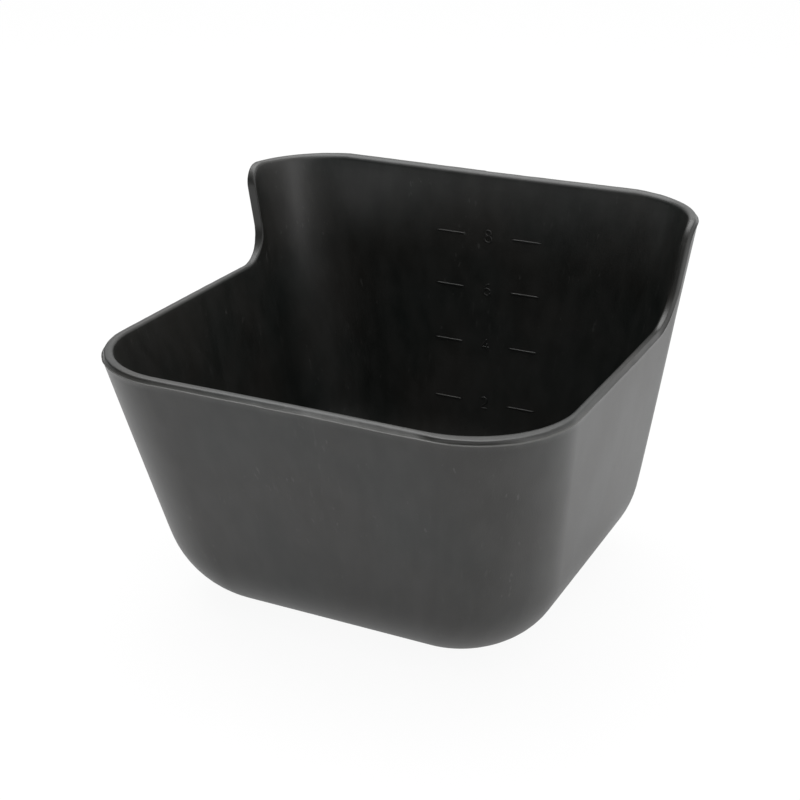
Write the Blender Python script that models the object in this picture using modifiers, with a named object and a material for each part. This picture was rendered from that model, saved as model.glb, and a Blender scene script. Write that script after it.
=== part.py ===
"""Feed trough: one thick-walled moulded tub with a low front and a high back.

Lengths are metres. X runs across the trough and the low front faces -Y. The
trough stands on z = 0, and its overall box is centred over the origin.

The tub is a loft. Each ring of its surface is a rounded rectangle that
follows the leaning walls, and the rings come in the order in which a finger
would cross them: underside, outer fillet, outer wall, lip, rim, inner wall,
inner fillet, floor.
"""

import math

import bmesh
import bpy
import numpy as np

# Overall sizes over the outer faces of the walls, without the lip
FRONT_HEIGHT = 0.1542
STEP_HEIGHT = 0.0556
RIM_WIDTH = 0.2607
BASE_WIDTH = 0.2149
DEPTH = 0.2513

# How far the base is set in behind the front rim and ahead of the back edge
FRONT_SET_IN = 0.0436
BACK_SET_IN = 0.0003

# Radii of the upright corners, at the base and at the front rim
FRONT_CORNER_BASE = 0.051
FRONT_CORNER_RIM = 0.0543
BACK_CORNER_BASE = 0.0452
BACK_CORNER_RIM = 0.0469
SMALLEST_CORNER = 0.003

# Outer fillets between the walls and the base
FRONT_FILLET = 0.054
SIDE_FILLET = 0.0538
BACK_FILLET = 0.0588

# Step from the low front rim up to the back, seen from the side
STEP_Y = 0.0754
STEP_LEAN = 0.0018
STEP_FOOT_RADIUS = 0.0207
STEP_TOP_RADIUS = 0.0124
BACK_EDGE_ANGLE = math.radians(2.8)

# Thicknesses, and the lip: a thin ledge all round, with the rim's own face set back above it
SIDE_WALL = 0.005
FRONT_WALL = 0.0074
BACK_WALL = 0.0095
FLOOR = 0.006
LIP = 0.0005
LIP_HEIGHT = 0.0026
RIM_SET_BACK = 0.001
OUTER_EDGE_RADIUS = 0.0013
INNER_EDGE_RADIUS = 0.0018

# How much sharper the front corners are inside, as a share of the walls' thickness
FRONT_CORNER_CUT = 0.4

# How far the middle of each wall stands out (+) or draws in (-) at its rim
FRONT_BOW = -0.0006
SIDE_BOW = 0.0002
BACK_BOW = -0.0011

# Raised graduation bars, a pair at each level on the back wall's inner face
GRADUATION_HEIGHTS = (0.0669, 0.1055, 0.141, 0.1743)
GRADUATION_CENTRE_X = 0.0043
GRADUATION_GAP = 0.030
BAR_LENGTH = 0.0184
BAR_THICKNESS = 0.001
BAR_STANDS_OUT = 0.0006
BAR_ROOT = 0.0015
BAR_EDGE_MARGIN = 0.008

# Mesh density
FRONT_COLUMNS = 5
CORNER_COLUMNS = 12
SIDE_COLUMNS = 6
FOOT_COLUMNS = 8
UPRIGHT_COLUMNS = 2
TOP_COLUMNS = 6
BACK_COLUMNS = 8
FILLET_ROWS = 9
WALL_ROWS = 6
EDGE_ROWS = 3
BAR_CUTS = 3
UPRIGHT_WEIGHT = 0.4
SMOOTH_ANGLE = math.radians(35)
MERGE_DISTANCE = 0.00005

# Worked out from the sizes above
BACK_HEIGHT = FRONT_HEIGHT + STEP_HEIGHT
REAR_HEIGHT = BACK_HEIGHT + (DEPTH / 2 - STEP_Y) * math.tan(BACK_EDGE_ANGLE)
SIDE_LEAN = (RIM_WIDTH - BASE_WIDTH) / 2 / FRONT_HEIGHT
FRONT_LEAN = FRONT_SET_IN / FRONT_HEIGHT
BACK_LEAN = BACK_SET_IN / REAR_HEIGHT
FILLETS = ((SIDE_FILLET, SIDE_LEAN), (FRONT_FILLET, FRONT_LEAN), (BACK_FILLET, BACK_LEAN))
QUARTER_TURN = math.pi / 2


def fillet_end(radius, lean):
    """Height at which a fillet meets a wall that leans outwards by `lean`, a tangent."""
    return radius * (1 - math.sin(math.atan(lean)))


def fillet_inset(radius, lean, rise):
    """How far a fillet, tangent to floor and wall, pulls the wall in at a height above the floor."""
    depth = np.sqrt(np.maximum(radius ** 2 - (radius - rise) ** 2, 0.0))
    inset = radius * math.hypot(1, lean) + (rise - radius) * lean - depth
    return np.where(rise < fillet_end(radius, lean), inset, 0.0)


def keep_positive(radius):
    """Ease a corner radius into SMALLEST_CORNER instead of letting it reach zero."""
    return (radius + np.sqrt(radius ** 2 + 4 * SMALLEST_CORNER ** 2)) / 2


def wall_depths(inset):
    """Inset into the side, front and back wall: inside the skin it grows with each wall's thickness."""
    if inset <= 0:
        return inset, inset, inset
    return inset, inset * FRONT_WALL / SIDE_WALL, inset * BACK_WALL / SIDE_WALL


def wall_lines(z, inset=0.0):
    """Half width, front y, back y and both corner radii of the plain walls at height z."""
    share = z / FRONT_HEIGHT
    side_depth, front_depth, back_depth = wall_depths(inset)
    half = BASE_WIDTH / 2 + SIDE_LEAN * z - side_depth
    front = -DEPTH / 2 + FRONT_LEAN * (FRONT_HEIGHT - z) + front_depth
    back = DEPTH / 2 - BACK_LEAN * (REAR_HEIGHT - z) - back_depth
    front_corner = FRONT_CORNER_BASE + (FRONT_CORNER_RIM - FRONT_CORNER_BASE) * share
    front_cut = (side_depth + front_depth) / 2 * (FRONT_CORNER_CUT if inset > 0 else 1)
    back_corner = BACK_CORNER_BASE + (BACK_CORNER_RIM - BACK_CORNER_BASE) * share
    back_cut = (side_depth + back_depth) / 2
    return half, front, back, front_corner - front_cut, back_corner - back_cut


def skin(station, z, inset=0.0, floor=0.0):
    """Points of the surface that lies `inset` inside the outer skin of the side wall.

    A station from 0 to 5 runs round the right half: front wall, front corner,
    side wall, back corner, back wall, one unit each. `floor` is the height
    that the fillets run into.
    """
    half, front, back, front_corner, back_corner = wall_lines(z, inset)
    side_in, front_in, back_in = [
        fillet_inset(radius - depth, lean, z - floor)
        for (radius, lean), depth in zip(FILLETS, wall_depths(inset))]
    half = half - side_in
    front = front + front_in
    back = back - back_in
    front_corner = keep_positive(front_corner - (side_in + front_in) / 2)
    back_corner = keep_positive(back_corner - (side_in + back_in) / 2)

    section = np.minimum(np.floor(station), 4)
    t = station - section
    turn = t * QUARTER_TURN
    front_run = half - front_corner
    back_run = half - back_corner
    side_start = front + front_corner
    side_end = back - back_corner
    front_bow = FRONT_BOW * z / FRONT_HEIGHT * (1 - t ** 2) ** 2
    side_bow = SIDE_BOW * z / FRONT_HEIGHT * (4 * t * (1 - t)) ** 2
    back_bow = BACK_BOW * z / BACK_HEIGHT * (1 - (1 - t) ** 2) ** 2
    sections = [section == k for k in range(5)]
    x = np.select(sections, [
        t * front_run,
        front_run + front_corner * np.sin(turn),
        half + side_bow,
        back_run + back_corner * np.cos(turn),
        (1 - t) * back_run])
    y = np.select(sections, [
        front - front_bow,
        side_start - front_corner * np.cos(turn),
        side_start + t * (side_end - side_start),
        side_end + back_corner * np.sin(turn),
        back + back_bow])
    return np.stack([x, y, z], axis=1)


def station_at(y, z):
    """Station where the outer skin passes depth y, on the right side wall or back corner."""
    _, front, back, front_corner, back_corner = wall_lines(z)
    side_start = front + front_corner
    side_end = back - back_corner
    along = (y - side_start) / (side_end - side_start)
    turn = np.arcsin(np.clip((y - side_end) / back_corner, 0.0, 1.0))
    return np.where(along < 1.0, 2.0 + along, 3.0 + turn / QUARTER_TURN)


def fillet_arc(before, corner, after, radius, count):
    """Points of the arc that rounds a corner, and unit vectors from its centre to them."""
    to_before = (before - corner) / np.linalg.norm(before - corner)
    to_after = (after - corner) / np.linalg.norm(after - corner)
    half_angle = math.acos(float(to_before @ to_after)) / 2
    middle = (to_before + to_after) / np.linalg.norm(to_before + to_after)
    centre = corner + middle * radius / math.sin(half_angle)
    first = corner + to_before * radius / math.tan(half_angle) - centre
    last = corner + to_after * radius / math.tan(half_angle) - centre
    start = math.atan2(first[1], first[0])
    sweep = (math.atan2(last[1], last[0]) - start + math.pi) % (2 * math.pi) - math.pi
    angles = start + sweep * np.linspace(0, 1, count)
    spokes = np.stack([np.cos(angles), np.sin(angles)], axis=1)
    return centre + radius * spokes, spokes


def step_profile():
    """Side view of the rim along the right side: (y, z) points and their normals out of the wall."""
    _, front, _, front_corner, _ = wall_lines(FRONT_HEIGHT)
    start = np.array([front + front_corner, FRONT_HEIGHT])
    foot = np.array([STEP_Y, FRONT_HEIGHT])
    top = np.array([STEP_Y - STEP_LEAN, BACK_HEIGHT])
    rear = np.array([DEPTH / 2, REAR_HEIGHT])
    foot_radius = min(STEP_FOOT_RADIUS, STEP_HEIGHT / 2)
    top_radius = min(STEP_TOP_RADIUS, STEP_HEIGHT / 3)
    foot_arc, foot_spokes = fillet_arc(start, foot, top, foot_radius, FOOT_COLUMNS)
    top_arc, top_spokes = fillet_arc(foot, top, rear, top_radius, TOP_COLUMNS)
    level = np.linspace(start, foot_arc[0], SIDE_COLUMNS, endpoint=False)
    upright = np.linspace(foot_arc[-1], top_arc[0], UPRIGHT_COLUMNS + 2)[1:-1]
    points = np.concatenate([level, foot_arc, upright, top_arc])
    normals = np.concatenate([
        np.tile([0.0, 1.0], (SIDE_COLUMNS, 1)), -foot_spokes,
        np.tile(top_spokes[0], (UPRIGHT_COLUMNS, 1)), top_spokes])
    return points, normals


def front_stations():
    """Stations of the columns on the front wall and the front corner."""
    return np.concatenate([
        np.linspace(0, 1, FRONT_COLUMNS, endpoint=False),
        np.linspace(1, 2, CORNER_COLUMNS, endpoint=False)])


def rear_stations(start):
    """Stations of the columns on the back corner, from `start`, and on the back wall."""
    return np.concatenate([
        np.linspace(start, 4, CORNER_COLUMNS + 1)[1:-1],
        np.linspace(4, 5, BACK_COLUMNS + 1)])


def rim_path(drop):
    """Stations and heights of the right half of the rim, lowered by `drop` square to its edge."""
    front = front_stations()
    points, normals = step_profile()
    lowered = points - drop * normals
    side = station_at(lowered[:, 0], lowered[:, 1])
    rear = rear_stations(side[-1])
    rear_y = skin(rear, np.full(len(rear), REAR_HEIGHT))[:, 1]
    below = np.where(rear < 4, (DEPTH / 2 - rear_y) * math.tan(BACK_EDGE_ANGLE), 0.0)
    stations = np.concatenate([front, side, rear])
    heights = np.concatenate([
        np.full(len(front), FRONT_HEIGHT - drop), lowered[:, 1], REAR_HEIGHT - below - drop])
    return stations, heights


def foot_path():
    """Stations at the foot of the walls, one for each column of the rim."""
    points, _ = step_profile()
    lengths = np.abs(np.diff(points, axis=0)) @ np.array([1.0, UPRIGHT_WEIGHT])
    share = np.concatenate([[0.0], np.cumsum(lengths)]) / lengths.sum()
    return np.concatenate([front_stations(), 2 + share, rear_stations(3)])


def wall_rings(inset, floor, drop):
    """Rings of one skin from the floor up: its fillet, then the wall, to `drop` below the rim."""
    foot = foot_path()
    depths = wall_depths(inset)
    blend = max(fillet_end(radius - depth, lean) for (radius, lean), depth in zip(FILLETS, depths))
    angles = np.linspace(0, QUARTER_TURN, FILLET_ROWS + 1)
    heights = floor + blend * (1 - np.cos(angles))
    rings = [skin(foot, np.full(len(foot), z), inset, floor) for z in heights]
    station, edge = rim_path(drop)
    for share in np.linspace(0, 1, WALL_ROWS + 1)[1:]:
        column = foot + (station - foot) * share
        z = heights[-1] + (edge - heights[-1]) * share
        rings.append(skin(column, z, inset, floor))
    return rings


def rim_rings():
    """Rings over the rim: out to the lip, in to the rim's face, up, across, and down inside."""
    face = min(RIM_SET_BACK, SIDE_WALL / 4) - LIP
    outer = min(OUTER_EDGE_RADIUS, LIP_HEIGHT * 0.6, SIDE_WALL / 4)
    inner = min(INNER_EDGE_RADIUS, SIDE_WALL / 3)
    turns = np.linspace(0, QUARTER_TURN, EDGE_ROWS + 1)
    profile = [(-LIP, LIP_HEIGHT), (face, LIP_HEIGHT - (face + LIP) / 2)]
    profile += [(outer * (1 - math.cos(a)) + face, outer * (1 - math.sin(a))) for a in turns]
    profile += [(SIDE_WALL - inner * (1 - math.sin(a)), inner * (1 - math.cos(a))) for a in turns[:-1]]
    return [skin(*rim_path(drop), inset) for inset, drop in profile]


def build_tub():
    """Loft the right half of the tub through its rings and mirror it."""
    rings = wall_rings(0.0, 0.0, LIP_HEIGHT) + rim_rings()
    rings += wall_rings(SIDE_WALL, FLOOR, min(INNER_EDGE_RADIUS, SIDE_WALL / 3))[::-1]
    mesh = bmesh.new()
    rows = [[mesh.verts.new(point) for point in ring] for ring in rings]
    for lower, upper in zip(rows, rows[1:]):
        for k in range(len(lower) - 1):
            mesh.faces.new((lower[k], lower[k + 1], upper[k + 1], upper[k]))
    mesh.faces.new(rows[0][::-1])
    mesh.faces.new(rows[-1])
    tub = new_object("tub", mesh)
    mirror = tub.modifiers.new("Left half", "MIRROR")
    mirror.merge_threshold = MERGE_DISTANCE
    return tub


def back_face_y(x, z):
    """Depth of the back wall's inner face at width x and height z."""
    half, _, back, _, back_corner = wall_lines(z, SIDE_WALL)
    across = min(abs(x) / (half - back_corner), 1.0)
    return back + BACK_BOW * z / BACK_HEIGHT * (1 - across ** 2) ** 2


def bar_mesh(centre_x, height):
    """One raised bar, a box cut across its length so that it follows the back wall."""
    bar = bmesh.new()
    bmesh.ops.create_cube(bar, size=1.0)
    lengthwise = [edge for edge in bar.edges if edge.verts[0].co.x != edge.verts[1].co.x]
    bmesh.ops.subdivide_edges(bar, edges=lengthwise, cuts=BAR_CUTS)
    for vert in bar.verts:
        x = centre_x + vert.co.x * BAR_LENGTH
        z = height + vert.co.z * BAR_THICKNESS
        reach = -BAR_STANDS_OUT if vert.co.y < 0 else BAR_ROOT
        vert.co = (x, back_face_y(x, z) + reach, z)
    data = bpy.data.meshes.new("bar")
    bar.to_mesh(data)
    bar.free()
    return data


def build_graduations():
    """All the bars that fit below the rim, as one object for the union with the tub."""
    mesh = bmesh.new()
    spread = (GRADUATION_GAP + BAR_LENGTH) / 2
    for height in GRADUATION_HEIGHTS:
        if height > REAR_HEIGHT - BAR_EDGE_MARGIN:
            continue
        for side in (-1, 1):
            mesh.from_mesh(bar_mesh(GRADUATION_CENTRE_X + side * spread, height))
    bars = new_object("graduation_bars", mesh)
    bars.hide_render = True
    bars.display_type = "WIRE"
    return bars


def new_object(name, mesh):
    """Turn a bmesh into a named object with its faces pointing out."""
    bmesh.ops.recalc_face_normals(mesh, faces=mesh.faces)
    data = bpy.data.meshes.new(name)
    mesh.to_mesh(data)
    mesh.free()
    return bpy.data.objects.new(name, data)


def moulded_rubber():
    """Dark grey moulded rubber, dull with a faint sheen."""
    material = bpy.data.materials.new("moulded_rubber")
    material.use_nodes = True
    shader = material.node_tree.nodes["Principled BSDF"]
    shader.inputs["Base Color"].default_value = (0.055, 0.055, 0.058, 1.0)
    shader.inputs["Roughness"].default_value = 0.5
    shader.inputs["Metallic"].default_value = 0.0
    return material


def main():
    """Build the trough in a scene that holds nothing else."""
    for old in list(bpy.data.objects):
        bpy.data.objects.remove(old, do_unlink=True)
    parts = bpy.data.collections.new("feed_trough")
    cutters = bpy.data.collections.new("cutters")
    bpy.context.scene.collection.children.link(parts)
    bpy.context.scene.collection.children.link(cutters)

    tub = build_tub()
    parts.objects.link(tub)
    bars = build_graduations()
    cutters.objects.link(bars)
    union = tub.modifiers.new("Graduation bars", "BOOLEAN")
    union.operation = "UNION"
    union.solver = "EXACT"
    union.object = bars

    tub.data.materials.append(moulded_rubber())
    tub.data.shade_smooth()
    tub.data.set_sharp_from_angle(angle=SMOOTH_ANGLE)


main()
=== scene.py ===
# %% [markdown]
# A feed trough, dressed. The real object is one thick rubber moulding: a tub with
# a low front, a high back whose wings wrap round both rear corners, a narrow lip
# round the rim, and raised level bars with numbers inside the back. The packed
# solid already has the right form, but it is faceted. Here the same form is made
# again as one fine surface, because a dark, slightly shiny moulding is judged by
# how smoothly reflections run over it.

import bpy
import numpy as np
from mathutils import Matrix


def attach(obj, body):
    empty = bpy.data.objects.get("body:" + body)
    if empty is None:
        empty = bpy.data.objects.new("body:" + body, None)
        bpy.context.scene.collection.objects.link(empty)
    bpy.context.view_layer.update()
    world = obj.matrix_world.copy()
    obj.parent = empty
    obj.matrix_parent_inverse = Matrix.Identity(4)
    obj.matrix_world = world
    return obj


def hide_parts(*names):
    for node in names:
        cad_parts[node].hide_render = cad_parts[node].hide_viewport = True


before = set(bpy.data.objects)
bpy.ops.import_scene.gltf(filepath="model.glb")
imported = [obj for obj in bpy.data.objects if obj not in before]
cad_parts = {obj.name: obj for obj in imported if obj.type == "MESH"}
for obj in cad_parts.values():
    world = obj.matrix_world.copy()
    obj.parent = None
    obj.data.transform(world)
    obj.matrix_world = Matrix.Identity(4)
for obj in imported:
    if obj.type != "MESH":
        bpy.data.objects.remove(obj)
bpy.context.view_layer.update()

# %% [markdown]
# The sizes repeat those of the solid, in metres, so the fine surface fills the same
# space.
# A wall stands SET_IN further in at its foot than at its rim. A corner has two
# radii, at the base and at the height of the front rim. WALLS and FILLET_RADII
# hold the side, the front and the back, in this order.

# %% Sizes of the tub
FRONT_HEIGHT = 0.1542
STEP_HEIGHT = 0.0556
RIM_WIDTH = 0.2607
BASE_WIDTH = 0.2149
FRONT_SET_IN = 0.0436
BACK_SET_IN = 0.0003
FRONT_CORNER = (0.0510, 0.0543)
BACK_CORNER = (0.0452, 0.0469)
SMALLEST_CORNER = 0.003
STEP_Y = 0.0754
STEP_LEAN = 0.0018
STEP_FOOT_RADIUS = 0.0207
STEP_TOP_RADIUS = 0.0124
BACK_EDGE_ANGLE = np.radians(2.80)
SIDE_WALL = 0.0050
WALLS = (SIDE_WALL, 0.0074, 0.0095)
FILLET_RADII = (0.0538, 0.0540, 0.0588)
FLOOR = 0.006
CORNER_CUT = {1: 0.05, -1: 0.85}
LIP = 0.0005
LIP_HEIGHT = 0.0026
FRONT_BOW, SIDE_BOW, BACK_BOW = -0.0006, 0.0002, -0.0011
SIDE_BELLY = 0.00039
CORNER_DIP = 0.00089

DEPTH = 0.2513
BACK_HEIGHT = FRONT_HEIGHT + STEP_HEIGHT
REAR_HEIGHT = BACK_HEIGHT + (DEPTH / 2 - STEP_Y) * np.tan(BACK_EDGE_ANGLE)
SIDE_LEAN = (RIM_WIDTH - BASE_WIDTH) / 2 / FRONT_HEIGHT
FRONT_LEAN = FRONT_SET_IN / FRONT_HEIGHT
BACK_LEAN = BACK_SET_IN / REAR_HEIGHT
FILLETS = list(zip(FILLET_RADII, (SIDE_LEAN, FRONT_LEAN, BACK_LEAN)))
QUARTER = np.pi / 2
print("depth", round(DEPTH, 4), "rear height", round(REAR_HEIGHT, 4))

# %% [markdown]
# Every level of the tub is a rounded rectangle. A point on it is named by a
# station, which runs from 0 to 5 round the right half (front wall, front corner,
# side wall, back corner, back wall), by its height, and by how deep it lies inside
# the outer skin. One function of these three gives outer wall, rim and inner wall
# alike, so wall thickness and fillets follow by themselves. A box with a Bevel and
# a Solidify modifier would be quicker to make, but its corners couldn't widen with
# height, and its walls couldn't differ. Inside, the front corners aren't alike in
# the photo: the left one is tighter. CORNER_CUT says how much of the wall's
# thickness each inner front corner's radius loses, 1 being the right side.

# %% Fillets and corner radii
def fillet_end(radius, lean):
    """Height where a fillet meets a wall leaning by the tangent `lean`: R (1 - sin angle)."""
    return radius * (1 - np.sin(np.arctan(lean)))


def fillet_inset(radius, lean, rise):
    """Pull of a fillet at a height: R / cos + (h - R) tan - sqrt(R^2 - (R - h)^2), zero past its end."""
    depth = np.sqrt(np.maximum(radius ** 2 - (radius - rise) ** 2, 0))
    pull = radius * np.hypot(1, lean) + (rise - radius) * lean - depth
    return np.where(rise < fillet_end(radius, lean), pull, 0)


def keep_positive(radius):
    """Ease a radius into SMALLEST_CORNER: half of r + sqrt(r^2 + 4 s^2)."""
    return (radius + np.sqrt(radius ** 2 + 4 * SMALLEST_CORNER ** 2)) / 2


print("fillets end at", [round(float(fillet_end(*fillet)), 4) for fillet in FILLETS])

# %% The skin of the tub as a function
def wall_depths(inset):
    """Inset into side, front and back wall: inside the skin it grows with each wall's thickness."""
    return [np.where(inset > 0, inset * wall / SIDE_WALL, inset) for wall in WALLS]


def wall_lines(z, inset=0.0, cut=1.0):
    """Half width, front y, back y, front and back corner radius, all linear in height."""
    side_depth, front_depth, back_depth = wall_depths(inset)
    half = BASE_WIDTH / 2 + SIDE_LEAN * z - side_depth
    front = -DEPTH / 2 + FRONT_LEAN * (FRONT_HEIGHT - z) + front_depth
    back = DEPTH / 2 - BACK_LEAN * (REAR_HEIGHT - z) - back_depth
    front_r, back_r = [base + (rim - base) * z / FRONT_HEIGHT for base, rim in (FRONT_CORNER, BACK_CORNER)]
    front_r = front_r - (side_depth + front_depth) / 2 * np.where(inset > 0, cut, 1)
    return half, front, back, front_r, back_r - (side_depth + back_depth) / 2


def skin(station, z, inset, floor=0.0, cut=1.0):
    """Points (x, y, z) at stations and heights, `inset` into the side wall.

    Lines bowed by (1 - t^2)^2 or (4 t (1 - t))^2 and joined by quarter circles. Near `floor` the
    fillets pull them in, and a parabola of the height, the belly, pushes the sides out.
    """
    half, front, back, front_r, back_r = wall_lines(z, inset, cut)
    side_in, front_in, back_in = [
        fillet_inset(radius - depth, lean, z - floor)
        for (radius, lean), depth in zip(FILLETS, wall_depths(inset))]
    half, front, back = half - side_in, front + front_in, back - back_in
    front_r = keep_positive(front_r - (side_in + front_in) / 2)
    back_r = keep_positive(back_r - (side_in + back_in) / 2)
    section = np.minimum(np.floor(station), 4)
    t = station - section
    turn = t * QUARTER
    start, end = front + front_r, back - back_r
    front_bow = FRONT_BOW * z / FRONT_HEIGHT * (1 - t ** 2) ** 2
    side_bow = SIDE_BOW * z / FRONT_HEIGHT * (4 * t * (1 - t)) ** 2
    back_bow = BACK_BOW * z / BACK_HEIGHT * (1 - (1 - t) ** 2) ** 2
    rise = np.clip(z / FRONT_HEIGHT, 0, 1)
    sections = [section == k for k in range(5)]
    on_side = np.select(sections, [0 * t, np.sin(turn), 1 + 0 * t, np.cos(turn), 0 * t])
    belly = SIDE_BELLY * 4 * rise * (1 - rise) * on_side
    x = np.select(sections, [
        t * (half - front_r), half - front_r + front_r * np.sin(turn), half + side_bow,
        half - back_r + back_r * np.cos(turn), (1 - t) * (half - back_r)]) + belly
    y = np.select(sections, [
        front - front_bow, start - front_r * np.cos(turn), start + t * (end - start),
        end + back_r * np.sin(turn), back + back_bow])
    return np.stack([x, y, z + 0 * x], axis=-1)


print("middle of the right rim", skin(np.array([2.5]), FRONT_HEIGHT, 0.0)[0].round(4))

# %% [markdown]
# Seen from the side, the rim runs level, turns up through a wide hollow corner,
# climbs almost straight, and rolls over a small round corner into the back's top
# edge. Lowering the rim means moving square to this line, so the lip keeps its
# height round the step as well. Columns of the surface run down from this line:
# the columns named here are counted along its parts.

# %% The rim in side view
SIDE_COLUMNS, FOOT_COLUMNS, UPRIGHT_COLUMNS, TOP_COLUMNS = 34, 34, 22, 26


def round_corner(before, corner, after, radius, count):
    """Arc tangent to two lines; its centre lies on their bisector, radius / sin(half angle) away."""
    to_before = (before - corner) / np.linalg.norm(before - corner)
    to_after = (after - corner) / np.linalg.norm(after - corner)
    half = np.arccos(to_before @ to_after) / 2
    middle = (to_before + to_after) / np.linalg.norm(to_before + to_after)
    centre = corner + middle * radius / np.sin(half)
    first = corner + to_before * radius / np.tan(half) - centre
    last = corner + to_after * radius / np.tan(half) - centre
    start = np.arctan2(first[1], first[0])
    sweep = (np.arctan2(last[1], last[0]) - start + np.pi) % (2 * np.pi) - np.pi
    angle = start + sweep * np.linspace(0, 1, count)
    spokes = np.stack([np.cos(angle), np.sin(angle)], axis=1)
    return centre + radius * spokes, spokes


def step_profile():
    """Side view (y, z) of the right rim, with unit normals that point out of the wall."""
    _, front, _, front_r, _ = wall_lines(FRONT_HEIGHT)
    start = np.array([front + front_r, FRONT_HEIGHT])
    foot = np.array([STEP_Y, FRONT_HEIGHT])
    top = np.array([STEP_Y - STEP_LEAN, BACK_HEIGHT])
    rear = np.array([DEPTH / 2, REAR_HEIGHT])
    foot_arc, foot_spokes = round_corner(start, foot, top, STEP_FOOT_RADIUS, FOOT_COLUMNS)
    top_arc, top_spokes = round_corner(foot, top, rear, STEP_TOP_RADIUS, TOP_COLUMNS)
    level = np.linspace(start, foot_arc[0], SIDE_COLUMNS, endpoint=False)
    upright = np.linspace(foot_arc[-1], top_arc[0], UPRIGHT_COLUMNS + 2)[1:-1]
    normals = [np.tile([0.0, 1.0], (SIDE_COLUMNS, 1)), -foot_spokes,
               np.tile(top_spokes[0], (UPRIGHT_COLUMNS, 1)), top_spokes]
    return np.concatenate([level, foot_arc, upright, top_arc]), np.concatenate(normals)


STEP_POINTS, STEP_NORMALS = step_profile()
print("side view", len(STEP_POINTS), "points, up to", STEP_POINTS[-1].round(4))

# %% [markdown]
# The skin wants stations, so each point of the side view is turned into one. Near
# the step the inner wall's columns keep the outer skin's y, which makes the
# upright's face square to the side, as on the real rim. At the foot of the walls
# the columns are moved on a little towards the rear, so that none of them cross.

# %% Stations round the rim
FRONT_COLUMNS, CORNER_COLUMNS, BACK_COLUMNS = 40, 44, 52
FOOT_LIFT = 0.2
SQUARE_FROM, SQUARE_AT = 0.0, 0.05
FRONT_STATIONS = np.concatenate([
    np.linspace(0, 1, FRONT_COLUMNS, endpoint=False),
    np.linspace(1, 2, CORNER_COLUMNS, endpoint=False)])


def rear_stations(start):
    """Stations round the back corner, from `start`, and along the back wall to its middle."""
    corner = np.linspace(start, 4, CORNER_COLUMNS + 1)[1:-1]
    return np.concatenate([corner, np.linspace(4, 5, BACK_COLUMNS + 1)])


SIDE_START = len(FRONT_STATIONS)
SIDE_END = SIDE_START + len(STEP_POINTS)
COLUMNS = SIDE_END + len(rear_stations(3))


def side_station(y, z, inset, cut):
    """Station of a point at y: 2 and its share of the side, or 3 and the arcsin of its place on the arc."""
    _, front, back, front_r, back_r = wall_lines(z, inset, cut)
    along = (y - front - front_r) / (back - back_r - front - front_r)
    turn = np.arcsin(np.clip((y - back + back_r) / back_r, 0, 1))
    return np.where(along < 1, 2 + along, 3 + turn / QUARTER)


def rim_path(drop, inset=0.0, cut=1.0):
    """Stations and heights of the rim, each column lowered by its own `drop` square to the edge.

    Near the step the stations keep the outer skin's y at every inset, so the upright's face is
    square to the side. In front of SQUARE_FROM every inset has the outer skin's stations.
    """
    lowered = STEP_POINTS - drop[SIDE_START:SIDE_END, None] * STEP_NORMALS
    deep = (inset + np.zeros(COLUMNS))[SIDE_START:SIDE_END]
    square = np.interp(lowered[:, 0], [SQUARE_FROM, SQUARE_AT], [0, 1])
    outer, own = [side_station(*lowered.T, depth, cut) for depth in (0 * deep, deep)]
    side = outer + (own - outer) * square
    rear = rear_stations(side[-1])
    rear_y = skin(rear, REAR_HEIGHT + 0 * rear, 0.0)[:, 1]
    below = np.where(rear < 4, (DEPTH / 2 - rear_y) * np.tan(BACK_EDGE_ANGLE), 0)
    share = np.clip((rear - side[-1]) / (4 - side[-1]), 0, 1)
    below = below + CORNER_DIP * 4 * share * (1 - share)
    stations = np.concatenate([FRONT_STATIONS, side, rear])
    front_heights = FRONT_HEIGHT - drop[:SIDE_START]
    rear_heights = REAR_HEIGHT - below - drop[SIDE_END:]
    return stations, np.concatenate([front_heights, lowered[:, 1], rear_heights])


def foot_stations():
    """Stations at the foot of the walls: the rim's own, moved on by up to FOOT_LIFT as the step climbs.

    So the columns under the step lean backwards as they go down, and never cross.
    """
    side = rim_path(np.zeros(COLUMNS))[0][SIDE_START:SIDE_END]
    climb = (STEP_POINTS[:, 1] - FRONT_HEIGHT) / (STEP_POINTS[-1, 1] - FRONT_HEIGHT)
    side = side + FOOT_LIFT * climb
    return np.concatenate([FRONT_STATIONS, side, rear_stations(side[-1])])


FOOT = foot_stations()
RIM_LINE = skin(*rim_path(np.zeros(COLUMNS)), 0.0)
STRIDES = np.linalg.norm(np.diff(RIM_LINE[:, :2], axis=0), axis=1)
AROUND = np.concatenate([[0], np.cumsum(STRIDES)])
print("columns on one half", COLUMNS, "half the rim's length", round(AROUND[-1], 4))

# %% [markdown]
# The mould closes just under the lip, and a thread of flash is left along that
# line. It was trimmed by hand, so it is never quite even. A sum of a few sine
# waves with fixed phases makes this unevenness. It is the same on every run, and
# it can be read at any place along the rim, which a noise texture can't here.

# %% Uneven trimming along the rim
WAVES = np.random.default_rng(8).uniform(size=(9, 2))
WAVE_LENGTHS = np.linspace(0.006, 0.06, len(WAVES))
WAVE_HEIGHTS = WAVE_LENGTHS ** 0.35
LENGTH_SPREAD = 0.3
FULL_SWING = 0.55


def unevenness(along):
    """Sum of sine waves of unlike length, full at FULL_SWING of their joint height, from -1 to 1."""
    lengths = WAVE_LENGTHS * (1 + LENGTH_SPREAD * WAVES[:, 0])
    phase = 2 * np.pi * (along[..., None] / lengths + WAVES[:, 1])
    total = (np.sin(phase) * WAVE_HEIGHTS).sum(axis=-1)
    return np.clip(total / (FULL_SWING * WAVE_HEIGHTS.sum()), -1, 1)


print("unevenness along 5 cm", unevenness(np.linspace(0, 0.05, 6)).round(2))

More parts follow.
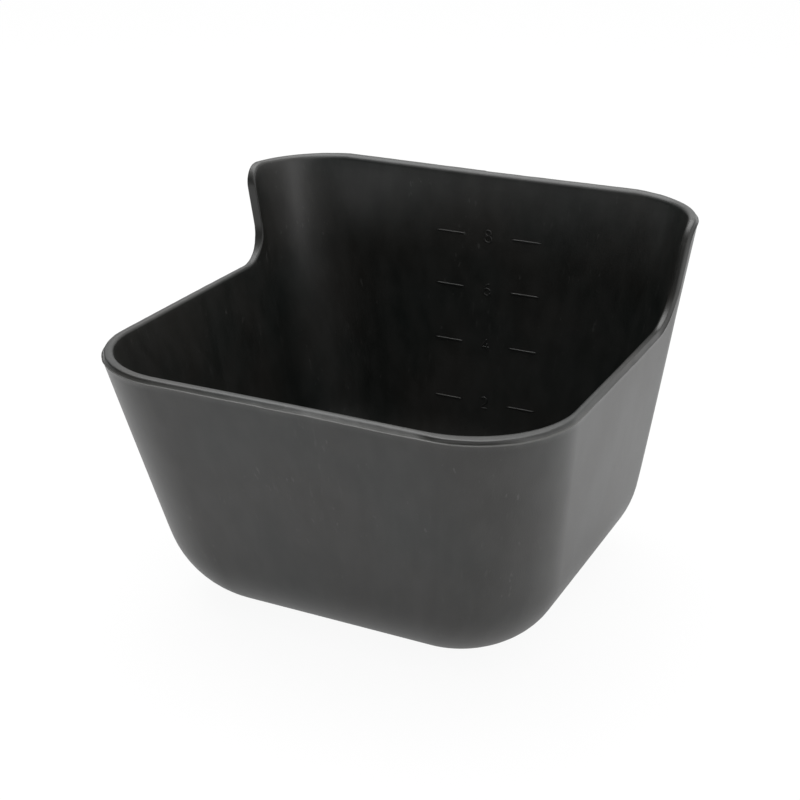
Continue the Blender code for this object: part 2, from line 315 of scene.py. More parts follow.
# %% [markdown]
# Cut across, the rim has a small ledge where the mould closed, a face above it, a
# rounded outer edge, a flat top and a rounder inner edge. Along the front the
# knife also took a slanting strip off the outer edge. BEVEL_PLACES are metres
# round the rim from the middle of the front, right being positive, and
# BEVEL_SHARES say how much of the full bevel is cut there. On the step the face
# stands square and flush with the lip. The left step is a little thicker than the
# right one and sharper inside, and the back's wall thins towards its top. A Bevel
# modifier would treat every edge alike, so this section is worked out row by row.

# %% Where the section of the rim changes
CLIMB_FROM, CLIMB_FULL = 0.002, 0.012
BACK_FROM, BACK_FULL = 0.095, 0.118
THINNER_BACK = 0.0008
THICKER_STEP = {1: 0.0, -1: 0.0012}


def climbing():
    """1 on the columns where the rim climbs the step, fading to 0 above and below."""
    rise = RIM_LINE[:, 2] - FRONT_HEIGHT
    return np.interp(rise, [CLIMB_FROM, CLIMB_FULL, STEP_HEIGHT - CLIMB_FULL, STEP_HEIGHT], [0, 1, 1, 0])


def at_back():
    """1 on the columns of the back wall, fading to 0 round the rear corners."""
    return np.interp(RIM_LINE[:, 1], [BACK_FROM, BACK_FULL], [0, 1])


def thinning(side):
    """How much thinner the wall is at the rim: a little at the back, less than nothing on the left step."""
    return THINNER_BACK * at_back() - THICKER_STEP[side] * climbing()


print("columns on the step", int(climbing().sum()), "and at the back", int(at_back().sum()))

# %% [markdown]
# The section is a list of pairs for each column: how deep a row lies inside the
# outer skin, and how far below the rim. LINE_SWING moves the parting line up and
# down, TRIM_LEAST and TRIM_MORE are cut off what stands out there, and a pair of
# UNDER_LEDGE is a share of what is left and a distance below that line.

# %% Section over the rim
LINE_SWING = 0.00018
TRIM_LEAST, TRIM_MORE = 0.00008, 0.0002
TRIM_FINER, TRIM_SHIFTED = 2.7, 1.3
UNDER_LEDGE = ((0.4, 0.00030), (0.85, 0.00012), (1.0, -0.00005))
LEDGE_IN, LEDGE_UP = 0.00012, 0.0002
LEDGE_WIDTH = 0.0008
LEDGE_LOST = 0.7
FACE_UP, FACE_LEAN = 0.00030, 0.0001
FACE_SHARES = (0.12, 0.5, 0.88)
BEVEL = 0.0021
BEVEL_PLACES = (-0.25, -0.16, -0.10, -0.07, -0.04, 0.0, 0.05, 0.07, 0.084, 0.105, 0.13, 0.16, 0.20, 0.30)
BEVEL_SHARES = (0.2, 0.4, 0.6, 0.6, 0.75, 0.95, 1.0, 0.9, 0.1, 0.0, 0.3, 0.5, 0.6, 0.5)
OUTER_EDGE = 0.0008
TOP_SHARES = (0.33, 0.67)
INNER_EDGE = 0.0018
SHARP_INSIDE = {1: 0.0, -1: 0.6}
DEEPER_BACK = 0.9
EDGE_ROWS = 7


def between(first, second, share):
    """Inset and drop a share of the way from the first pair to the second."""
    return tuple(a + (b - a) * share for a, b in zip(first, second))


def rim_rows(side):
    """Inset and drop of each row over the rim: parting ledge, face, outer edge, top, inner edge.

    The ledge's tip stands out by LIP less what was trimmed, and the ledge loses part of its
    width where there is a bevel. The face rises from it to the top along a line that stands
    upright where the bevel's share is 0 and leans in where it is 1. A parabola rounds the edge
    above it, and quarter ellipses the inner one. The back's inner edge is rounded deeper.
    """
    place = side * AROUND
    bevel = np.interp(place, BEVEL_PLACES, BEVEL_SHARES)
    line = LIP_HEIGHT + LINE_SWING * unevenness(place)
    trimmed = 0.5 - 0.5 * unevenness(place * TRIM_FINER + TRIM_SHIFTED)
    tip = -LIP + TRIM_LEAST + TRIM_MORE * trimmed
    ledge = LEDGE_WIDTH * (1 - LEDGE_LOST * bevel) * (1 - climbing())
    foot = (tip + LEDGE_IN + ledge, line - FACE_UP)
    edge = foot[0] + FACE_LEAN + BEVEL * bevel
    face_top = between((edge, 0.0), foot, OUTER_EDGE / np.hypot(edge - foot[0], foot[1]))
    rows = [(share * tip, line + below) for share, below in UNDER_LEDGE]
    rows += [(tip + LEDGE_IN, line - LEDGE_UP), foot]
    rows += [between(foot, face_top, share) for share in FACE_SHARES]
    start = edge + OUTER_EDGE
    for s in np.linspace(0, 1, EDGE_ROWS):
        near, middle, far = (1 - s) ** 2, 2 * s * (1 - s), s ** 2
        rows.append((near * face_top[0] + middle * edge + far * start, near * face_top[1]))
    wall = SIDE_WALL - thinning(side)
    round_in = INNER_EDGE * (1 - SHARP_INSIDE[side] * climbing())
    round_down = round_in * (1 + DEEPER_BACK * at_back())
    rows += [between((start, 0.0), (wall - round_in, 0.0), share) for share in TOP_SHARES]
    for turn in np.linspace(0, QUARTER, EDGE_ROWS):
        rows.append((wall - round_in * (1 - np.sin(turn)), round_down * (1 - np.cos(turn))))
    return [(inset + np.zeros(COLUMNS), drop + np.zeros(COLUMNS)) for inset, drop in rows]


print("rows over the rim", len(rim_rows(1)))

# %% [markdown]
# The surface is one grid. Rows go from the middle of the underside outwards, up
# the outer fillet and wall, over the rim, down the inner wall and fillet, and in
# to the middle of the floor. Columns go round. The two poles are single points,
# closed with fans, so the shell is watertight. The outer wall ends WALL_TOP below
# the rim, just under the ledge. THINS_LATE is a high power of the share of the
# wall's height, so that what thins or thickens a wall comes in its last part.

# %% Rows of the tub
FILLET_ROWS, WALL_ROWS, FLOOR_ROWS = 20, 34, 6
WALL_TOP = LIP_HEIGHT + 0.0006
THINS_LATE = 10


def flat_rows(ring):
    """Rings of a flat face, from near its middle out to `ring`."""
    centre = np.array([0.0, (ring[0, 1] + ring[-1, 1]) / 2, ring[0, 2]])
    shares = np.linspace(0, 1, FLOOR_ROWS + 1)[1:-1]
    return [centre + share * (ring - centre) for share in shares]


def wall_rows(inset, floor, drop, cut=1.0, thinner=0.0):
    """Rings of one wall from its floor's edge to `drop` below the rim; `thinner` fades in near the rim."""
    ends = [fillet_end(radius - depth, lean)
            for (radius, lean), depth in zip(FILLETS, wall_depths(inset))]
    rises = max(ends) * (1 - np.cos(np.linspace(0, QUARTER, FILLET_ROWS + 1)))
    rings = [skin(FOOT, floor + rise + 0 * FOOT, inset, floor, cut) for rise in rises]
    station, edge = rim_path(np.full(COLUMNS, drop), inset - thinner, cut)
    low = floor + rises[-1]
    for share in np.linspace(0, 1, WALL_ROWS + 1)[1:]:
        place = FOOT + (station - FOOT) * share
        depth = inset - thinner * share ** THINS_LATE
        rings.append(skin(place, low + (edge - low) * share, depth, floor, cut))
    return rings


def half_tub(side):
    """All rings of one half, side = 1 for the right and -1 for the left."""
    cut = CORNER_CUT[side]
    outer = wall_rows(0.0, 0.0, WALL_TOP)
    inner = wall_rows(SIDE_WALL, FLOOR, INNER_EDGE, cut, thinning(side))[::-1]
    rim = [skin(*rim_path(drop, inset, cut), inset, cut=cut) for inset, drop in rim_rows(side)]
    rings = flat_rows(outer[0]) + outer + rim + inner[1:] + flat_rows(inner[-1])[::-1]
    return np.stack(rings) * np.array([side, 1, 1])


def tub_grid():
    """Both halves joined into closed rings, from the middle of the front round by the right."""
    right, left = half_tub(1), half_tub(-1)
    return np.concatenate([right, left[:, -2:0:-1]], axis=1)


TUB_GRID = tub_grid()
print("tub grid", TUB_GRID.shape)

# %% [markdown]
# A grid becomes a mesh when each ring is joined to the next with four-sided faces
# and both ends are closed with fans. Every piece goes through these two functions,
# so every piece is closed.

# %% Closed surfaces made into pieces
def closed_surface(grid, start=0):
    """Points and faces, counted from `start`: quads between rings, and a fan to a pole at each end."""
    rows, columns = grid.shape[:2]
    poles = np.stack([grid[0].mean(axis=0), grid[-1].mean(axis=0)])
    points = np.concatenate([grid.reshape(-1, 3), poles])
    index = start + np.arange(rows * columns).reshape(rows, columns)
    after = np.roll(index, -1, axis=1)
    low = np.full(columns, start + rows * columns)
    quads = np.stack([index[:-1], after[:-1], after[1:], index[1:]], axis=-1).reshape(-1, 4)
    low_fan = np.stack([low, after[0], index[0]], axis=-1)
    high_fan = np.stack([low + 1, index[-1], after[-1]], axis=-1)
    return points, quads.tolist() + low_fan.tolist() + high_fan.tolist()


def new_piece(name, points, faces):
    """Smooth object at the origin, its place in its mesh."""
    mesh = bpy.data.meshes.new(name)
    mesh.from_pydata(points, [], faces)
    mesh.shade_smooth()
    piece = bpy.data.objects.new(name, mesh)
    bpy.context.scene.collection.objects.link(piece)
    return piece


tub = new_piece("tub_moulding", *closed_surface(TUB_GRID))
print("tub", len(tub.data.vertices), "points", len(tub.data.polygons), "faces")

# %% [markdown]
# Streaks left by the mould run up and down the walls, so their pattern has to
# follow the wall. The length round the rim is rolled onto a circle and stored
# with the height as a vector on each point. Noise read at that vector has no seam,
# and stretching it along its third part gives streaks. A second value marks the
# rows of the front ledge, which are painted paler: partly the trimmed flash's own
# paler colour, partly a painted highlight where the ledge catches the light from
# above. Its shares go from the row under the ledge to the middle of the face.

# %% Wall coordinates and the pale flash with a painted highlight, stored on the tub
INSIDE_SHIFT = 0.7
FLASH_AND_HIGHLIGHT_SHARES = np.array([0.1, 0.4, 0.9, 1.0, 0.9, 0.6, 0.3])
FLASH_AND_HIGHLIGHT_FULL, FLASH_AND_HIGHLIGHT_END = -0.09, -0.02


def wall_coordinates(grid):
    """Vector (R cos a, R sin a, h): a is the angle of the way round, h the height, inside set apart."""
    whole = 2 * AROUND[-1]
    along = np.concatenate([AROUND, whole - AROUND[-2:0:-1]])
    angle = 2 * np.pi * along / whole
    radius = whole / (2 * np.pi)
    rows = len(grid)
    inside = np.arange(rows) > rows // 2
    height = grid[..., 2] + INSIDE_SHIFT * inside[:, None]
    flat = np.stack([radius * np.cos(angle), radius * np.sin(angle)], axis=-1)
    vectors = np.concatenate([np.broadcast_to(flat, (rows,) + flat.shape), height[..., None]], axis=-1)
    return np.concatenate([vectors.reshape(-1, 3), [[0, 0, 0], [0, 0, INSIDE_SHIFT]]])


def flash_and_highlight_mask(grid):
    """1 on the front's ledge, where the flash was cut and a highlight is painted, fading to 0 up the face
    and towards the rear.
    """
    rim_start = (FLOOR_ROWS - 1) + (FILLET_ROWS + 1) + WALL_ROWS
    mask = np.zeros(grid.shape[:2])
    mask[rim_start:rim_start + len(FLASH_AND_HIGHLIGHT_SHARES)] = FLASH_AND_HIGHLIGHT_SHARES[:, None]
    mask *= np.interp(grid[rim_start, :, 1], [FLASH_AND_HIGHLIGHT_FULL, FLASH_AND_HIGHLIGHT_END], [1, 0])
    return np.concatenate([mask.ravel(), [0, 0]])


def store(piece, name, kind, field, values):
    """Keep one value or vector for each point of a piece's mesh, under a name that materials can read."""
    layer = piece.data.attributes.new(name, kind, "POINT")
    layer.data.foreach_set(field, values.astype(np.float32).ravel())


FLASH_AND_HIGHLIGHT = flash_and_highlight_mask(TUB_GRID)
store(tub, "wall_place", "FLOAT_VECTOR", "vector", wall_coordinates(TUB_GRID))
store(tub, "flash_and_painted_highlight", "FLOAT", "value", FLASH_AND_HIGHLIGHT)
print("points on the pale thread", int((FLASH_AND_HIGHLIGHT > 0).sum()))

# %% [markdown]
# Level bars and numbers stand a little proud of the back's inner face. Each is a
# rounded bead carried along a path drawn on that face: the path is given as
# (x, z), and the depth comes from the same formula as the wall, so every bead
# follows the wall's slight bow. Displacing the wall itself would need a far finer
# grid. A bead's root goes into the wall, and at both ends the bead tapers to
# BEAD_END of its size, within its last two points.

# %% Beads on the back wall
GRADUATION_HEIGHTS = (0.0669, 0.1055, 0.1410, 0.1743)
GRADUATION_CENTRE_X = 0.0043
GRADUATION_GAP = 0.030
BAR_LENGTH = 0.0184
BAR_WIDTH = 0.0011
BAR_STANDS_OUT = 0.0006
BAR_POINTS = 16
BEAD_ROOT = 0.0008
BEAD_SIDES = 12
BEAD_BLUNT = 0.7
BEAD_TAPER, BEAD_END = 6, 0.35


def back_face_y(x, z):
    """Depth of the back wall's inner face: the wall's line plus its bow."""
    half, _, back, _, back_r = wall_lines(z, SIDE_WALL)
    across = np.minimum(np.abs(x) / (half - back_r), 1)
    return back + BACK_BOW * z / BACK_HEIGHT * (1 - across ** 2) ** 2


def bead(path, width, height):
    """Closed bead along a path of (x, z): (cos a, sin a ^ BEAD_BLUNT) above the wall, a root below it."""
    ahead = np.gradient(path, axis=0)
    ahead /= np.linalg.norm(ahead, axis=1, keepdims=True)
    across = np.stack([-ahead[:, 1], ahead[:, 0]], axis=1)
    angle = np.linspace(0, np.pi, BEAD_SIDES)
    outline = np.concatenate([
        np.stack([np.cos(angle) * width / 2, np.sin(angle) ** BEAD_BLUNT * height], axis=1),
        [[-width / 2, -BEAD_ROOT], [width / 2, -BEAD_ROOT]]])
    ends = np.linspace(0, np.pi, len(path))
    taper = np.minimum(1, np.sin(ends) * len(path) / BEAD_TAPER + BEAD_END)
    place = path[:, None] + across[:, None] * outline[None, :, :1] * taper[:, None, None]
    lift = np.where(outline[:, 1] > 0, outline[:, 1] * taper[:, None], outline[:, 1])
    y = back_face_y(place[..., 0], place[..., 1]) - lift
    return np.stack([place[..., 0], y, place[..., 1]], axis=-1)


def join_beads(name, beads):
    """One piece out of several closed beads, one after the other in the same mesh."""
    points, faces = np.zeros((0, 3)), []
    for rings in beads:
        more_points, more_faces = closed_surface(rings, start=len(points))
        points = np.concatenate([points, more_points])
        faces += more_faces
    return new_piece(name, points, faces)


def bar_paths():
    """A straight path for each bar, left and right of the numbers at every level."""
    spread = (GRADUATION_GAP + BAR_LENGTH) / 2
    run = np.linspace(-BAR_LENGTH / 2, BAR_LENGTH / 2, BAR_POINTS)
    return [np.stack([GRADUATION_CENTRE_X + side * spread + run, np.full(BAR_POINTS, level)], axis=1)
            for level in GRADUATION_HEIGHTS for side in (-1, 1)]


bars = join_beads("level_bars", [bead(path, BAR_WIDTH, BAR_STANDS_OUT) for path in bar_paths()])
print("bars", len(bars.data.polygons), "faces")

# %% [markdown]
# The numbers are plain figures, 2, 4, 6 and 8, made of arcs and straight strokes
# in a box one unit high. They are drawn with the same bead, only narrower. A text
# object would be quicker, but its corners are sharp, and a mould's aren't.

# %% Numbers between the bars
FIGURE_HEIGHT = 0.0072
FIGURE_STROKE = 0.0009
FIGURE_STANDS_OUT = 0.0004


def arc(centre, size, start, end, count=28):
    """Points of an elliptical arc between two angles in degrees."""
    angle = np.radians(np.linspace(start, end, count))
    return np.array(centre) + np.stack([np.cos(angle), np.sin(angle)], axis=1) * np.array(size)


def stroke(*points, spacing=0.05):
    """Straight strokes through the points, filled with evenly spaced points."""
    corners = np.array(points, float)
    pieces = [np.linspace(a, b, max(2, int(np.linalg.norm(b - a) / spacing)), endpoint=False)
              for a, b in zip(corners, corners[1:])]
    return np.concatenate(pieces + [corners[-1:]])


FIGURES = {
    2: [np.concatenate([arc((0, 0.71), (0.28, 0.29), 165, -35), stroke((0.2, 0.5), (-0.29, 0.0))[1:]]),
        stroke((-0.3, 0.0), (0.3, 0.0))],
    4: [stroke((0.1, 1.0), (-0.34, 0.27)), stroke((-0.36, 0.3), (0.34, 0.3)),
        stroke((0.13, 0.62), (0.13, 0.0))],
    6: [arc((0.0, 0.3), (0.29, 0.3), 0, 350), arc((0.28, 0.36), (0.57, 0.64), 183, 95)],
    8: [arc((0, 0.27), (0.3, 0.28), 90, 440), arc((0, 0.78), (0.24, 0.23), -90, 260)],
}


def figure_beads(figure, level):
    """Beads of one figure, centred on its level."""
    beads = []
    for path in FIGURES[figure]:
        place = (path - np.array([0, 0.5])) * FIGURE_HEIGHT + np.array([GRADUATION_CENTRE_X, level])
        beads.append(bead(place, FIGURE_STROKE, FIGURE_STANDS_OUT))
    return beads


figures = join_beads("level_figures", [
    b for figure, level in zip(FIGURES, GRADUATION_HEIGHTS) for b in figure_beads(figure, level)])
print("figures", len(figures.data.polygons), "faces")

# %% [markdown]
# The rubber is near black. What the eye reads as grey is the white room mirrored
# in it: weakly where the wall faces the eye, strongly where it is seen at a slant.
# So the colour stays dark and plain, and the finish lives in roughness, in faint
# streaks and smudges left by the mould, in cloudy patches that turn from cool to
# warm, and in a very shallow unevenness.
# The marks are a node group that puts out masks only. The material then says how
# much each mask changes the colour and the finish. Each mask is a noise whose
# values between low and high are spread over 0 to 1, and where upright is below 1
# it is drawn out along the wall's height. Streaks and scuffs are fine marks that
# show only inside larger patches.

# %% Group of moulding marks
def link(tree, source, target):
    """Join an output to an input."""
    tree.links.new(source, target)


def moulding_marks():
    """Group that puts out masks for streaks, clouds, scuffs, upright smudges and grain."""
    group = bpy.data.node_groups.new("moulding_marks", "ShaderNodeTree")
    group.interface.new_socket("Wall place", in_out="INPUT", socket_type="NodeSocketVector")
    group.interface.new_socket("Object place", in_out="INPUT", socket_type="NodeSocketVector")
    for name in ("Streaks", "Clouds", "Scuffs", "Smudges", "Grain"):
        group.interface.new_socket(name, in_out="OUTPUT", socket_type="NodeSocketFloat")
    nodes = group.nodes
    enter = nodes.new("NodeGroupInput")
    leave = nodes.new("NodeGroupOutput")

    def noise(source, scale, detail, low, high, upright=1):
        """Mask from a noise at a place: a smooth step from 0 at low to 1 at high."""
        place = nodes.new("ShaderNodeMapping")
        place.inputs["Scale"].default_value = (1, 1, upright)
        link(group, enter.outputs[source], place.inputs["Vector"])
        texture = nodes.new("ShaderNodeTexNoise")
        texture.inputs["Scale"].default_value = scale
        texture.inputs["Detail"].default_value = detail
        link(group, place.outputs["Vector"], texture.inputs["Vector"])
        levels = nodes.new("ShaderNodeMapRange")
        levels.interpolation_type = "SMOOTHSTEP"
        levels.inputs["From Min"].default_value = low
        levels.inputs["From Max"].default_value = high
        link(group, texture.outputs["Fac"], levels.inputs["Value"])
        return levels.outputs["Result"]

    def product(a, b):
        """Mask a times mask b: it shows only where both do."""
        multiply = nodes.new("ShaderNodeMath")
        multiply.operation = "MULTIPLY"
        link(group, a, multiply.inputs[0])
        link(group, b, multiply.inputs[1])
        return multiply.outputs["Value"]

    threads = noise("Wall place", scale=520, detail=3.0, low=0.58, high=0.80, upright=0.22)
    patches = noise("Wall place", scale=30, detail=2.0, low=0.50, high=0.66, upright=0.7)
    clouds = noise("Object place", scale=16, detail=3.0, low=0.30, high=0.70)
    flecks = noise("Wall place", scale=420, detail=1.5, low=0.66, high=0.76, upright=0.5)
    fields = noise("Object place", scale=34, detail=1.0, low=0.50, high=0.64)
    smudges = noise("Wall place", scale=95, detail=5.0, low=0.25, high=0.75, upright=0.55)
    grain = noise("Object place", scale=1400, detail=2.0, low=0.2, high=0.8)
    link(group, product(threads, patches), leave.inputs["Streaks"])
    link(group, clouds, leave.inputs["Clouds"])
    link(group, product(flecks, fields), leave.inputs["Scuffs"])
    link(group, smudges, leave.inputs["Smudges"])
    link(group, grain, leave.inputs["Grain"])
    return group


MARKS = moulding_marks()
print("marks", [item.name for item in MARKS.interface.items_tree])

# %% [markdown]
# One rubber covers all three pieces. Clouds turn its dark colour from cool to warm
# and its finish from SMOOTHER to ROUGHER. Streaks, scuffs and smudges mix in some
# chalk, streaks and scuffs make the skin rougher as well, and the grain is a very
# shallow bump. The mix node's sockets go by number: in a colour mix, input 0 is
# the share, inputs 6 and 7 are the two colours, and output 2 is the result.

# %% Rubber
DARK = (0.0044, 0.0060, 0.0053, 1)
LIGHTER = (0.0083, 0.0078, 0.0066, 1)
CHALKY = (0.050, 0.050, 0.048, 1)
# Pale grey of the front ledge: the trimmed flash's own colour and a painted highlight where the ledge
# catches the light.
PALE_FLASH_AND_PAINTED_HIGHLIGHT = (0.055, 0.055, 0.052, 1)
CHALK_IN_STREAKS = 0.30
CHALK_IN_SCUFFS = 0.55
CHALK_IN_SMUDGES = 0.16
SMOOTHER, ROUGHER = 0.385, 0.415
CHALK_ROUGHNESS = 0.12
GRAIN_STRENGTH = 0.12
GRAIN_DEPTH = 0.0002
RUBBER_IOR = 1.53


def rubber():
    """Moulded rubber: dark with clouds, chalky streaks and scuffs, a pale ledge that is flash and painted
    highlight, uneven roughness, fine grain.
    """
    material = bpy.data.materials.new("moulded_rubber")
    material.use_nodes = True
    tree = material.node_tree
    nodes = tree.nodes
    shader = nodes["Principled BSDF"]
    marks = nodes.new("ShaderNodeGroup")
    marks.node_tree = MARKS
    wall = nodes.new("ShaderNodeAttribute")
    wall.attribute_name = "wall_place"
    place = nodes.new("ShaderNodeTexCoord")
    link(tree, wall.outputs["Vector"], marks.inputs["Wall place"])
    link(tree, place.outputs["Object"], marks.inputs["Object place"])

    def mix_colour(factor, first, second):
        """The first colour where the factor is 0, the second where it is 1."""
        mix = nodes.new("ShaderNodeMix")
        mix.data_type = "RGBA"
        link(tree, factor, mix.inputs[0])
        for value, socket in ((first, mix.inputs[6]), (second, mix.inputs[7])):
            if isinstance(value, tuple):
                socket.default_value = value
            else:
                link(tree, value, socket)
        return mix.outputs[2]

    def scaled(value, low, high):
        """A mask spread over low to high instead of 0 to 1."""
        levels = nodes.new("ShaderNodeMapRange")
        levels.inputs["To Min"].default_value = low
        levels.inputs["To Max"].default_value = high
        link(tree, value, levels.inputs["Value"])
        return levels.outputs["Result"]

    def add(a, b):
        """The sum a + b."""
        total = nodes.new("ShaderNodeMath")
        link(tree, a, total.inputs[0])
        link(tree, b, total.inputs[1])
        return total.outputs["Value"]

    clouds = mix_colour(marks.outputs["Clouds"], DARK, LIGHTER)
    flash_and_painted_highlight = nodes.new("ShaderNodeAttribute")
    flash_and_painted_highlight.attribute_name = "flash_and_painted_highlight"
    streaks = scaled(marks.outputs["Streaks"], 0, CHALK_IN_STREAKS)
    scuffs = scaled(marks.outputs["Scuffs"], 0, CHALK_IN_SCUFFS)
    chalk = add(streaks, scuffs)
    smudged = mix_colour(scaled(marks.outputs["Smudges"], 0, CHALK_IN_SMUDGES), clouds, CHALKY)
    marked = mix_colour(chalk, smudged, CHALKY)
    # The front ledge is mixed towards a pale grey: the trimmed flash's own paler colour, and a painted
    # highlight where the ledge catches the light.
    link(tree, mix_colour(flash_and_painted_highlight.outputs["Fac"], marked, PALE_FLASH_AND_PAINTED_HIGHLIGHT), shader.inputs["Base Color"])
    cloudy = scaled(marks.outputs["Clouds"], SMOOTHER, ROUGHER)
    link(tree, add(cloudy, scaled(chalk, 0, CHALK_ROUGHNESS)), shader.inputs["Roughness"])
    bump = nodes.new("ShaderNodeBump")
    bump.inputs["Strength"].default_value = GRAIN_STRENGTH
    bump.inputs["Distance"].default_value = GRAIN_DEPTH
    link(tree, marks.outputs["Grain"], bump.inputs["Height"])
    link(tree, bump.outputs["Normal"], shader.inputs["Normal"])
    shader.inputs["IOR"].default_value = RUBBER_IOR
    return material


RUBBER = rubber()
for piece in (tub, bars, figures):
    piece.data.materials.append(RUBBER)
    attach(piece, "root")
    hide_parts("tub")
print(RUBBER.name, "has", len(RUBBER.node_tree.nodes), "nodes")

# %% [markdown]
# The photo's background is plain white with no shadow to speak of. The floor is
# pale and takes the lamps like any surface, but to the camera it is nearly all
# white, so only a faint shadow is left. Mirrored in the rubber it is mostly white
# too, with some of its real shading kept, which darkens the foot of the walls.

# %% Floor
FLOOR_SIZE = 12.0
FLOOR_PALE = 0.8
WHITE_TO_CAMERA = 0.93
WHITE_TO_MIRRORS = 0.61


def pale_floor():
    """Large flat sheet under the trough: a matt pale, mixed with a white glow by the kind of ray."""
    reach = FLOOR_SIZE / 2
    corners = [(-reach, -reach, 0), (reach, -reach, 0), (reach, reach, 0), (-reach, reach, 0)]
    mesh = bpy.data.meshes.new("floor")
    mesh.from_pydata(corners, [], [(0, 1, 2, 3)])
    floor = bpy.data.objects.new("floor", mesh)
    bpy.context.scene.collection.objects.link(floor)
    material = bpy.data.materials.new("pale_floor")
    material.use_nodes = True
    tree = material.node_tree
    nodes = tree.nodes
    nodes.clear()
    matt = nodes.new("ShaderNodeBsdfDiffuse")
    matt.inputs["Color"].default_value = (FLOOR_PALE, FLOOR_PALE, FLOOR_PALE, 1)
    glow = nodes.new("ShaderNodeEmission")
    path = nodes.new("ShaderNodeLightPath")
    shares = []
    for ray, white in (("Is Camera Ray", WHITE_TO_CAMERA), ("Is Glossy Ray", WHITE_TO_MIRRORS)):
        share = nodes.new("ShaderNodeMath")
        share.operation = "MULTIPLY"
        share.inputs[1].default_value = white
        link(tree, path.outputs[ray], share.inputs[0])
        shares.append(share)
    either = nodes.new("ShaderNodeMath")
    either.operation = "MAXIMUM"
    mix = nodes.new("ShaderNodeMixShader")
    out = nodes.new("ShaderNodeOutputMaterial")
    link(tree, shares[0].outputs["Value"], either.inputs[0])
    link(tree, shares[1].outputs["Value"], either.inputs[1])
    link(tree, either.outputs["Value"], mix.inputs[0])
    link(tree, matt.outputs[0], mix.inputs[1])
    link(tree, glow.outputs[0], mix.inputs[2])
    link(tree, mix.outputs[0], out.inputs[0])
    mesh.materials.append(material)
    return floor


pale_floor()
print("floor", FLOOR_SIZE, "m square")

# %% [markdown]
# The lighting is read off the photo's reflections. The front wall leans over and
# mirrors the white floor, the right wall is seen at a slant and mirrors the pale
# backdrop, and the inside is dark because it mirrors the tub itself and the dark
# part of the room. So the room is brightest high up on the right, a little behind
# the trough, and fades to nothing low down on the left of its front.

# %% Light of the room
BACKDROP = 1.23
BRIGHT_AZIMUTH, BRIGHT_ELEVATION = 124, 58
DARK_FACING, BRIGHT_FACING = -0.3, 0.6


def direction(azimuth, elevation):
    """Unit vector towards an azimuth (0 = front, 90 = right) and elevation in degrees."""
    turn, rise = np.radians([azimuth, elevation])
    return np.array([np.sin(turn) * np.cos(rise), -np.cos(turn) * np.cos(rise), np.sin(rise)])


def pale_room():
    """World: white to the camera; as light, smoothstep of the cosine between a way and the bright one."""
    world = bpy.data.worlds.new("pale_room")
    world.use_nodes = True
    tree = world.node_tree
    nodes = tree.nodes
    way = nodes.new("ShaderNodeTexCoord")
    facing = nodes.new("ShaderNodeVectorMath")
    facing.operation = "DOT_PRODUCT"
    facing.inputs[1].default_value = tuple(direction(BRIGHT_AZIMUTH, BRIGHT_ELEVATION))
    link(tree, way.outputs["Generated"], facing.inputs[0])
    light = nodes.new("ShaderNodeMapRange")
    light.interpolation_type = "SMOOTHSTEP"
    light.inputs["From Min"].default_value = DARK_FACING
    light.inputs["From Max"].default_value = BRIGHT_FACING
    light.inputs["To Max"].default_value = BACKDROP
    link(tree, facing.outputs["Value"], light.inputs["Value"])
    path = nodes.new("ShaderNodeLightPath")
    level = nodes.new("ShaderNodeMapRange")
    level.inputs["To Max"].default_value = 1.0
    link(tree, path.outputs["Is Camera Ray"], level.inputs["Value"])
    link(tree, light.outputs["Result"], level.inputs["To Min"])
    link(tree, level.outputs["Result"], nodes["Background"].inputs["Strength"])
    nodes["Background"].inputs["Color"].default_value = (1, 1, 1, 1)
    bpy.context.scene.world = world


pale_room()
print("brightest towards", direction(BRIGHT_AZIMUTH, BRIGHT_ELEVATION).round(2))

# %% [markdown]
# A large soft lamp overhead lights the rim and fills the inside a little. The
# upright gleam inside the rear left corner comes from a low soft box to the right:
# it ends where the right side hides the box. A lamp's brightness is given as
# radiance, which is what a mirror shows of it, and its power follows from its size.

# %% Lamps
LAMP_AIM_HEIGHT = 0.14


def right_and_up(back, roll):
    """Unit vectors right and up in the plane square to `back`, turned by roll in degrees."""
    right = np.cross([0, 0, 1], back)
    right /= np.linalg.norm(right)
    up = np.cross(back, right)
    turn = np.radians(roll)
    return right * np.cos(turn) + up * np.sin(turn), up * np.cos(turn) - right * np.sin(turn)


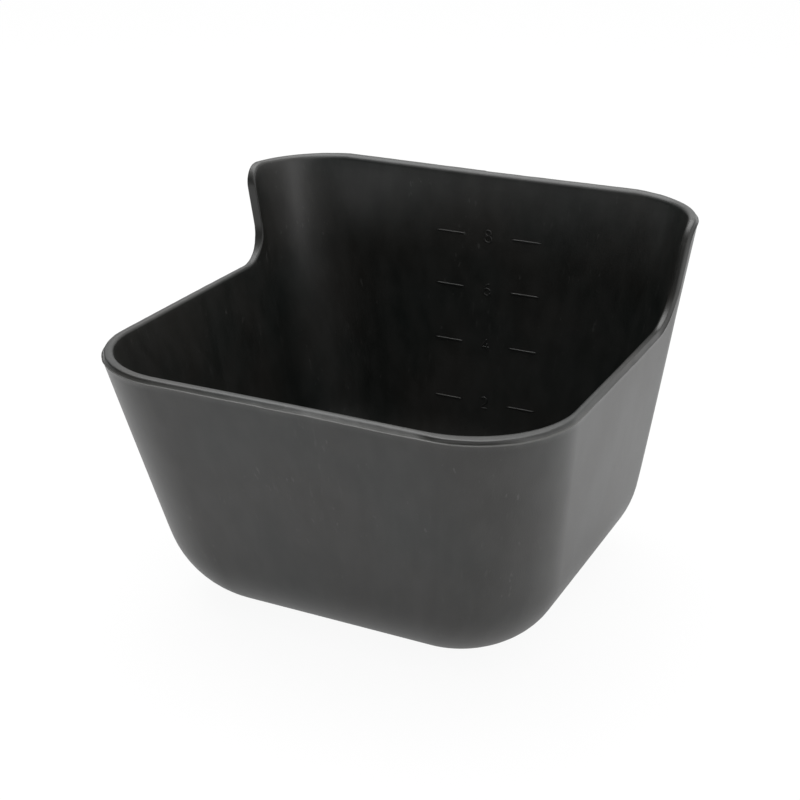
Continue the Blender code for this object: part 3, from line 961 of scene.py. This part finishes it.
def place_looking(holder, place, back, roll=0.0):
    """Put a lamp or camera at a place with its back along a vector, turned by roll in degrees."""
    back = back / np.linalg.norm(back)
    axes = np.eye(4)
    axes[:3, :3] = np.stack([*right_and_up(back, roll), back], axis=1)
    axes[:3, 3] = place
    holder.matrix_world = Matrix(axes.tolist())


def soft_lamp(name, azimuth, reach, height, width, tall, radiance):
    """Oblong lamp, reach metres out and height up, aimed at the rim; watts = radiance pi area."""
    lamp = bpy.data.lights.new(name, "AREA")
    lamp.shape = "RECTANGLE"
    lamp.size = width
    lamp.size_y = tall
    lamp.energy = radiance * np.pi * width * tall
    holder = bpy.data.objects.new(name, lamp)
    place = direction(azimuth, 0) * reach + np.array([0, 0, height])
    place_looking(holder, place, place - np.array([0, 0, LAMP_AIM_HEIGHT]))
    bpy.context.scene.collection.objects.link(holder)
    print(name, round(lamp.energy, 2), "W")


soft_lamp("lamp_above", azimuth=235, reach=0.35, height=1.5, width=1.5, tall=1.5, radiance=3.4)
soft_lamp("box_right", azimuth=67, reach=1.25, height=0.14, width=0.36, tall=0.26, radiance=5.2)

# %% [markdown]
# The camera was found by fitting this form to the outline in the photo: a 70 mm
# lens on a 36 mm wide picture, 86 cm away, 26 degrees round to the right and 23
# degrees above.

# %% Camera
CAMERA_AZIMUTH = 25.73
CAMERA_ELEVATION = 22.73
CAMERA_ROLL = 0.337
CAMERA_DISTANCE = 0.86462
CAMERA_LENS = 70.404
PICTURE_WIDTH = 36
AIM_HEIGHT = 0.1024
AIM_RIGHT = 0.00200
AIM_UP = 0.00811
NEAREST = 0.01


def add_camera():
    """Camera at the photo's angle, moved sideways and up in its own plane."""
    back = direction(CAMERA_AZIMUTH, CAMERA_ELEVATION)
    right, up = right_and_up(back, CAMERA_ROLL)
    place = np.array([0, 0, AIM_HEIGHT]) + back * CAMERA_DISTANCE + right * AIM_RIGHT + up * AIM_UP
    data = bpy.data.cameras.new("camera")
    data.lens = CAMERA_LENS
    data.sensor_width = PICTURE_WIDTH
    data.clip_start = NEAREST
    camera = bpy.data.objects.new("camera", data)
    place_looking(camera, place, back, CAMERA_ROLL)
    bpy.context.scene.collection.objects.link(camera)
    bpy.context.scene.camera = camera
    print("camera at", place.round(4))


add_camera()
bpy.context.scene.view_settings.view_transform = "Standard"
